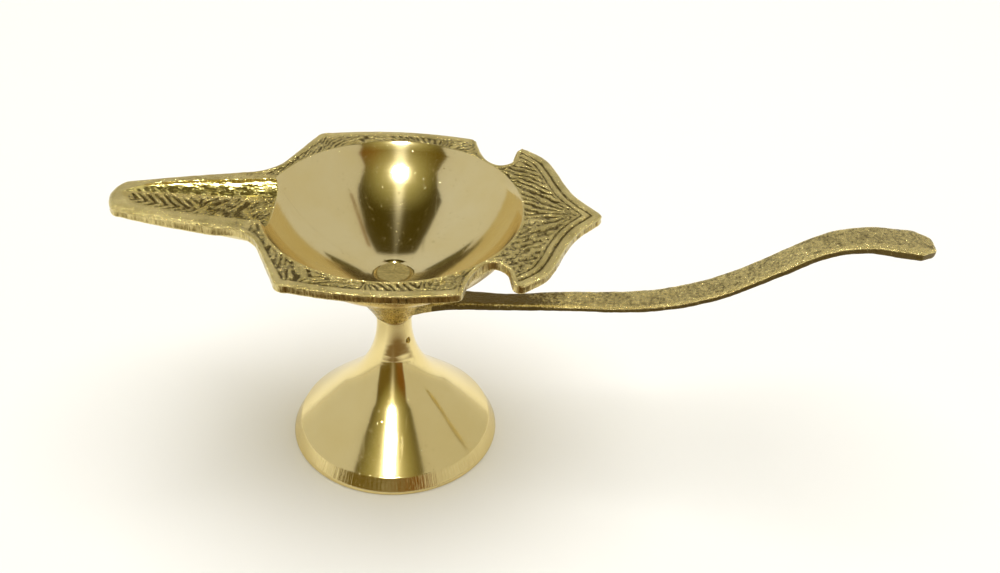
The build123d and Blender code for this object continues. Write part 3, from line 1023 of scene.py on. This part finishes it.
roof_z, lip_width, bore_z = stud_low[2] - 4.5, 3.0, stud_low[2] - 1.0
inner_radius = curve_radius + wall
roof_turn = math.pi + math.asin((curve_z - roof_z) / inner_radius)
flank = trumpet(curve_radius, math.pi, touch, 48)
hollow = trumpet(inner_radius, touch, roof_turn, 30)
slope = flank[-1] - [bevel_x, bevel_height]
slope = slope / np.hypot(*slope)
skirt_reach = (foot_radius - lip_width - hollow[0][0]) / slope[0]
skirt = hollow[0] + slope * skirt_reach
skirt[1] = max(skirt[1], 0.6)
neck_corners = [(0.01, bore_z), (shank_hole, bore_z), (shank_hole, foot_top)]
neck_corners += [(neck_radius, foot_top), flank[0]]
neck = rounded_path(neck_corners, [0.2, 0.15, 0.3], 0.4)
rim_corners = [flank[-1], (bevel_x, bevel_height), (foot_radius, 0)]
rim_corners += [(foot_radius - lip_width, 0), skirt, hollow[0]]
rim = rounded_path(rim_corners, [0.28, 0.35, 0.35, 0.5], 0.8)
roof = np.linspace(hollow[-1], (0.01, roof_z), 5)[1:]
foot_profile = np.concatenate([neck[:-1], flank[:-1], rim[:-1], hollow, roof])
foot_profile[[0, -1], 0] = 0
# faint turning rings below the neck, each a shallow groove
rings = sum(groove(foot_profile[:, 1], level, 0.16) for level in (31.2, 29.9, 28.4, 26.6))
outside = (foot_profile[:, 0] > 4.0) & (foot_profile[:, 1] > 20)
foot_profile[:, 0] -= 0.035 * rings * outside
foot = single("trumpet_foot", turned(foot_profile), [foot_polish])

# the drill is a cylinder from inside the bore to outside the neck, lying at the hole's angle
hole_angle, hole_z, hole_radius = math.radians(-37), foot_top - 6.5, 0.85
drill_start, drill_end = 1.0, 7.0
drill_turn = full_turn(32)
drill_radius = np.array([0, hole_radius, hole_radius, 0])[:, None]
drill_reach = np.array([drill_start, drill_start, drill_end, drill_end])[:, None]
sideways, upward = drill_radius * np.cos(drill_turn), hole_z + drill_radius * np.sin(drill_turn)
drill_x = drill_reach * math.cos(hole_angle) - sideways * math.sin(hole_angle)
drill_y = drill_reach * math.sin(hole_angle) + sideways * math.cos(hole_angle)
drill = single("drill", np.dstack([drill_x, drill_y, upward]), [foot_polish])
join_solids(foot, drill, "DIFFERENCE")
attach(foot, "pedestal")
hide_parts("pedestal")

# %% [markdown]
# ## The handle
#
# The handle is one casting: a funnel that fills the gap between foot and bowl, and a flat bar
# that leaves it level and then rises in an S. The bar is a rounded rectangle carried along the
# S. Its width and thickness are smooth functions of the place along it, and they swell where it
# leaves the collar. A little hammered unevenness and sand grain go on last.

# %% Collar
collar_base, waist, collar_height = 4.9, 0.4, seat_z - foot_top
middle_radius, middle_z = (collar_base + boss_radius) / 2 - waist, foot_top + collar_height / 2
hole_low, hole_high, collar_brim = (shank_hole, foot_top), (shank_hole, seat_z), (boss_radius, seat_z)
collar_curve = arc((collar_base, foot_top + 0.35), (middle_radius, middle_z), collar_brim, 44)
# the base is rounded into the curve's seventh point
collar_profile = np.concatenate([
    rounded_path([hole_low, (collar_base, foot_top), collar_curve[6]], [0.9], 0.3)[:-1],
    collar_curve[6:-1],
    rounded_path([collar_curve[-2], collar_brim, hole_high], [0.12], 1.0),
    np.linspace(hole_high, hole_low, 12)[1:-1],
])
collar_grid = turned(collar_profile, 220)
collar_grid = np.concatenate([collar_grid, collar_grid[:1]])
handle = single("handle_casting", collar_grid, [sand, filed], finish=1)

# %% Bar
bar_start, bar_reach, bar_top = 3.8, handle_high[0], foot_top + 6.2
bend_x, bend_rise, end_rise = bar_reach - 22.0, 24.8, 22.8
top_corners = [(bar_start, bar_top), (bend_x - 35.7, bar_top + 1.9)]
top_corners += [(bend_x, bar_top + bend_rise), (bar_reach, bar_top + end_rise)]
top_line = rounded_path(top_corners, [66, 33], 0.25)

# sections stand evenly along the bar and crowd together at its rounded end
bar_cells, crowd = 430, 2.2
length = run_length(top_line)
bar_length = length[-1]
places = np.linspace(0, bar_length, bar_cells + 1)
end_places = bar_length - crowd * (1 - np.sin(np.linspace(0, np.pi / 2, 12)))
places = np.concatenate([places[places < bar_length - crowd - 0.2], end_places])
bar_x, bar_z = (np.interp(places, length, top_line[:, n]) for n in (0, 1))
heading = np.gradient(np.stack([bar_x, bar_z], -1), places, axis=0)
heading /= np.hypot(*heading.T)[:, None]

root_flare = np.exp(-((bar_x - 5.5) / 4.2).clip(0) ** 1.3)
root_end = np.interp(bar_x, [bar_start, 5.2], [0.76, 1.0])


def bar_half(stations, half_widths):
    """One side's half width: straight runs, averaged over 25 sections except near the end."""
    drawn = np.interp(bar_x, stations, half_widths)
    averaged = np.convolve(np.pad(drawn, 12, "edge"), np.ones(25) / 25, "valid")
    return (np.where(bar_x < 122, averaged, drawn) + 2.0 * root_flare) * root_end


near_half = bar_half([0, 20, 49, 108, 120, 127.6, 131.8], [3.8, 3.8, 3.8, 4.3, 5.4, 5.6, 2.9])
far_half = bar_half(
    [0, 12, 17, 29, 41, 49, 68, 108, 120, 127.6, 131.8],
    [4.6, 3.9, 2.9, 1.6, 3.3, 3.8, 4.5, 4.9, 5.5, 5.7, 2.6],
)
thick = np.interp(bar_x, [0, 14, 45, 90, 113, 124, 131.8], [2.9, 2.5, 1.9, 2.1, 2.4, 2.9, 2.7])
thick = thick + 1.2 * root_flare
end_round = 1.2
into_end = ((places - bar_length + end_round) / end_round).clip(0, 1)
end_taper = np.sqrt(np.clip(1 - 0.97 * into_end**2, 0, 1))

# the section is a superellipse: a power of 2 is a circle, and a high one nearly a rectangle
corner_power = 5.5
section_turn = full_turn(84)
circle = np.stack([np.cos(section_turn), np.sin(section_turn)])
section_y, section_z = np.sign(circle) * np.abs(circle) ** (2 / corner_power)
taper = end_taper[:, None]
half_width = np.where(section_y < 0, near_half[:, None], far_half[:, None])
bar_y = section_y * half_width * (0.55 + 0.45 * taper)
drop = thick[:, None] / 2 * (1 - section_z * taper)

# hammer marks and grain on the flats, then waves on the two edges
along = places[:, None] + 0 * bar_y
dent = 0.03 * rough(along, bar_y, 7.0, 51)
dent = dent + 0.07 * pebbles(along, bar_y * 1.3 + section_z * 3, 1.0, 52)
drop = drop + (dent + 0.13) * taper * section_z
short_wave = 0.02 * (1 + rough(along, section_z * 4, 1.6, 53))
long_wave = 0.035 * (1 + rough(along, np.sign(bar_y) * 9, 4.5, 54))
bar_y = bar_y * (1 - short_wave - long_wave)
bar_x, bar_z = bar_x[:, None], bar_z[:, None]
ahead_x, ahead_z = heading[:, 0, None], heading[:, 1, None]
bar = np.stack([bar_x + ahead_z * drop, bar_y, bar_z - ahead_x * drop], -1)

# the root's end is rounded off inside the collar
root_share = (1 - np.clip((bar_x - bar_start) / 9, 0, 1)) * (bar_x < 13)
bar[..., 0] -= root_share * 2.4 * (bar_y / 4.6) ** 2
first, last = bar[:1].mean(1, keepdims=True), bar[-1:].mean(1, keepdims=True)
bar = np.concatenate([np.repeat(first, bar.shape[1], 1), bar, np.repeat(last, bar.shape[1], 1)])
join_solids(handle, single("bar", bar, [sand, filed]), "UNION")
handle.data.shade_smooth()


# %% Tarnish and painted shade of the handle
def mark_tarnish_and_shade(target, depth):
    """Fills the number for tarnish and painted shade of every point from a function of its place in
    mm.
    """
    flat = np.zeros(3 * len(target.data.vertices), np.float32)
    target.data.vertices.foreach_get("co", flat)
    x, y, z = (flat.reshape(-1, 3) / MM).T
    target.data.attributes["tarnish_and_shade"].data.foreach_set("value", depth(x, y, z).astype(np.float32))


def handle_tarnish_and_shade(x, y, z):
    """Painted shade of the bowl on top towards the collar, darker on the near side, lighter along the
    near arris.
    """
    top_z = np.interp(x, top_line[:, 0], top_line[:, 1])
    below = top_z - z
    # painted shade: the shadow of the bowl on the bar's top, from about 8 to 46 mm out from the axis
    root = step(46, 28, x) * step(8, 14, x) * (below < 0.6)
    flank = step(0.35, 0.8, below) * step(-2.5, -3.2, y) * (x > 10)
    arris = groove(below, 0.25, 0.35) * step(-2.6, -3.4, y) * (x > 10)
    patchy = 0.24 + 0.06 * rough(x, y, 3.0, 71) + 0.2 * rough(x, y, 0.8, 72)
    return np.clip(patchy + 0.85 * root + 0.75 * flank - 0.9 * arris, 0, 1)


mark_tarnish_and_shade(handle, handle_tarnish_and_shade)
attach(handle, "head")
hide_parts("handle")

# %% [markdown]
# ## The stud
#
# The stud is turned from rod: a flat head with a broken edge, and a shank whose lower part is
# threaded. The thread is a wave along the shank that climbs one pitch for each turn. It shows
# only when the lamp is unscrewed.

# %% Stud
head_radius, shank_radius, thread_pitch = stud_high[0], 2.5, 0.8
thread_top, thread_low = foot_top + 0.5, stud_low[2]
thread_depth, end_bevel = 0.42, 0.3
face = [(0, head_z - 0.06), (2.8, head_z - 0.01), (head_radius, head_z - 0.02)]
below_head = [(head_radius, well_floor), (shank_radius, well_floor)]
head_rows = rounded_path(face + below_head, [6.0, 0.18, 0.1], 0.16)
shank_z = np.linspace(well_floor, thread_low, 300)[1:]
shank = np.stack([np.full(len(shank_z), shank_radius), shank_z], -1)
stud_profile = np.concatenate([head_rows, shank, [(0, thread_low)]])
stud_columns = 72
stud_grid = turned(stud_profile, stud_columns)
turn = full_turn(stud_columns)
profile_radius, profile_z = stud_profile[:, 0, None], stud_profile[:, 1, None]
on_shank = (profile_radius == shank_radius) & (profile_z < thread_top)
cut_share = step(thread_top, thread_top - thread_pitch, profile_z) * on_shank
thread_wave = 0.5 - 0.5 * np.cos(2 * np.pi * profile_z / thread_pitch - turn)
bevel_cut = end_bevel * step(thread_low + 0.5, thread_low, profile_z) * on_shank
thread_cut = thread_depth * thread_wave * cut_share + bevel_cut
stud_grid[..., :2] *= (1 - thread_cut / shank_radius)[..., None]

# shallow rays on the head, between its middle and its broken edge
radius_now = np.hypot(stud_grid[..., 0], stud_grid[..., 1])
on_head = (stud_grid[..., 2] > head_z - 0.1) * step(0.4, 1.2, radius_now)
on_head = on_head * step(head_radius - 0.1, head_radius - 0.5, radius_now)
rays = rough(turn * 7 + 0 * radius_now, radius_now * 0.25, 1.0, 61)
stud_grid[..., 2] -= 0.05 * on_head * (1 + rays)


def stud_brass():
    """Dull face with strokes that run out from the middle: noise of angle and distance."""
    brass = Brass("stud_brass")
    angle = brass.y.math("ARCTAN2", brass.y, brass.x)
    radius = (brass.x**2.0 + brass.y**2.0) ** 0.5
    spot = brass.node("ShaderNodeCombineXYZ", None, {0: angle * 0.004, 1: radius * 0.12, 2: brass.z})
    ray = brass.noise(2600, 3, place=spot)
    mottle = brass.noise(1400, 3)
    dirt_and_shade = (ray * 0.7 + mottle * 0.5).between(0.42, 0.85)
    colour = brass.mix(dirt_and_shade * 0.6, (0.88, 0.73, 0.30, 1), TARNISH_AND_SHADE)
    brass.bump(ray, 0.05)
    brass.bump(mottle, 0.05)
    return brass.finish(colour, mottle * 0.2 + 0.24)


stud = single("stud_turned", stud_grid, [stud_brass()])
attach(stud, "stud")
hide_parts("centre_stud")

# %% [markdown]
# ## Floor and light
#
# Polished metal shows its surroundings more than itself. The lamp stands in a white studio tent:
# walls left, right and behind are bright, and in front and overhead there is a gap, where the
# room is dark. One lamp shines through the gap. The tent is the world's colour as a function of
# direction, and rays that come straight from the camera see a plain pale backdrop instead.

# %% Floor
PAPER = (0.93, 0.93, 0.92, 1)
floor_half = 40
floor_corners = [(x * floor_half, y * floor_half, 0) for x, y in ((-1, -1), (1, -1), (1, 1), (-1, 1))]
floor_mesh = bpy.data.meshes.new("floor")
floor_mesh.from_pydata(floor_corners, [], [(0, 1, 2, 3)])
floor = bpy.data.objects.new("floor", floor_mesh)
bpy.context.scene.collection.objects.link(floor)
paper = bpy.data.materials.new("paper")
paper.use_nodes = True
sheet = paper.node_tree
floor_x, floor_y, _ = axes_of(sheet, add_node(sheet, "ShaderNodeTexCoord", output="Object"))
forward = floor_x * 0.42 - floor_y * 0.91
# a painted dark patch, seen only in reflections: the floor in front of the lamp is dark brown to
# glossy rays, so the metal reflects dark there
painted_dark_patch = forward.between(0.025, 0.075) * (1 - abs(floor_x).between(0.10, 0.22))
mirrored = add_node(sheet, "ShaderNodeLightPath", output="Is Glossy Ray")
paper_shader = sheet.nodes["Principled BSDF"]
paper_colour = tint(sheet, painted_dark_patch * mirrored, PAPER, (0.16, 0.10, 0.04, 1))
sheet.links.new(paper_colour.socket, paper_shader.inputs["Base Color"])
paper_shader.inputs["Roughness"].default_value = 0.9
paper_shader.inputs["Specular IOR Level"].default_value = 0.1
floor_mesh.materials.append(paper)

# %% Tent
world = bpy.data.worlds.new("tent")
bpy.context.scene.world = world
world.use_nodes = True
tent = world.node_tree
east, north, up = axes_of(tent, add_node(tent, "ShaderNodeTexCoord", output=0))
# angle from the front horizon over the top, in degrees, and the gap's two edges at that angle
over = up.math("ARCTAN2", up, north * -1.0) * (180 / math.pi)


def profile_of(value, places, heights):
    """Straight runs between knots, as a sum of clamped ramps."""
    total = heights[0]
    for start, end, low, high in zip(places, places[1:], heights, heights[1:]):
        total = total + value.between(start, end) * (high - low)
    return total


right_places = (-4, 27, 45, 65, 77, 102, 123)
right_reach = (0.64, 0.57, 0.44, 0.49, 0.455, 0.29, 0.10)
left_places = (-4, 27, 48, 62, 77, 90, 123)
left_reach = (-0.84, -0.72, -0.54, -0.55, -0.585, -0.50, -0.27)
inside_right = profile_of(over, right_places, right_reach) - east
inside_left = east - profile_of(over, left_places, left_reach)
soft_edge = 0.008
gap = inside_right.between(-soft_edge, soft_edge) * inside_left.between(-soft_edge, soft_edge)
gap = gap * (1 - over.between(121, 125)) * over.between(-60, -40)


def slit(east_middle, east_reach, over_middle, over_reach):
    """A spindle-shaped opening: its half height falls off as a parabola along it."""
    along_slit = (east - east_middle) * (1 / east_reach)
    off_slit = abs(over - over_middle)
    return ((1 - along_slit * along_slit) * over_reach - off_slit).between(0.0, 1.0)


openings = slit(0.27, 0.17, 149.5, 4.5) + slit(-0.49, 0.20, 147.5, 5.0)
warm = east.between(0.10, 0.34) * over.between(50, 25)
high = over.between(30, 60)
lamp_way = Vector((-0.045, -0.64, 0.77)).normalized()
towards_lamp = east * lamp_way.x + north * lamp_way.y + up * lamp_way.z
halo = towards_lamp.between(0.82, 1.0) ** 1.9
room = tint(tent, high, (0.14, 0.095, 0.008, 1), (0.055, 0.040, 0.002, 1))
room = tint(tent, warm, room, (0.20, 0.085, 0.006, 1))
room = tint(tent, halo, room, (0.52, 0.48, 0.19, 1))
cloth = tint(tent, east.between(-0.6, 0.8), (0.64, 0.62, 0.57, 1), (0.60, 0.57, 0.49, 1))
cloth = tint(tent, up.between(0.16, 0.0) * 0.5, cloth, (0.84, 0.80, 0.70, 1))
mixed = tint(tent, gap, cloth, room)
mixed = tint(tent, openings, mixed, (0.07, 0.055, 0.005, 1))
# a strip of tape along the gap's right edge, seen as a thin brown line
tape_off = east - (over * -0.0083 + 1.165)
tape = (0.022 - abs(tape_off)).between(0.0, 0.010)
tape = tape * over.between(72, 75) * (1 - over.between(116, 120))
mixed = tint(tent, tape, mixed, (0.20, 0.10, 0.02, 1))
lit, plain = (
    add_node(tent, "ShaderNodeBackground", None, {"Color": colour, "Strength": 1.0})
    for colour in (mixed, PAPER)
)
seen = add_node(tent, "ShaderNodeLightPath", output="Is Camera Ray")
blend = add_node(tent, "ShaderNodeMixShader", None, {0: seen, 1: lit, 2: plain})
tent.links.new(blend.socket, tent.nodes["World Output"].inputs["Surface"])


# %% Lamps
def area_light(name, place, aim, size, power, seen_in_metal):
    """A disc of light that points from a place to an aim."""
    light = bpy.data.lights.new(name, "AREA")
    light.shape, light.size, light.energy = "DISK", size, power
    holder = bpy.data.objects.new(name, light)
    holder.location = place
    holder.rotation_euler = (Vector(aim) - Vector(place)).to_track_quat("-Z", "Y").to_euler()
    holder.visible_camera = False
    holder.visible_glossy = seen_in_metal
    bpy.context.scene.collection.objects.link(holder)
    return holder


aim, lamp_distance = (0, 0, 0.04), 0.8
lamp_place = Vector(aim) + lamp_way * lamp_distance
lamp = area_light("lamp", lamp_place, aim, size=0.115, power=3.6, seen_in_metal=True)
lamp.visible_diffuse = False
area_light("floor_fill", (0.1, 0.1, 1.6), (0.03, 0, 0), size=1.6, power=24, seen_in_metal=False)
bpy.context.scene.view_settings.view_transform = "Standard"
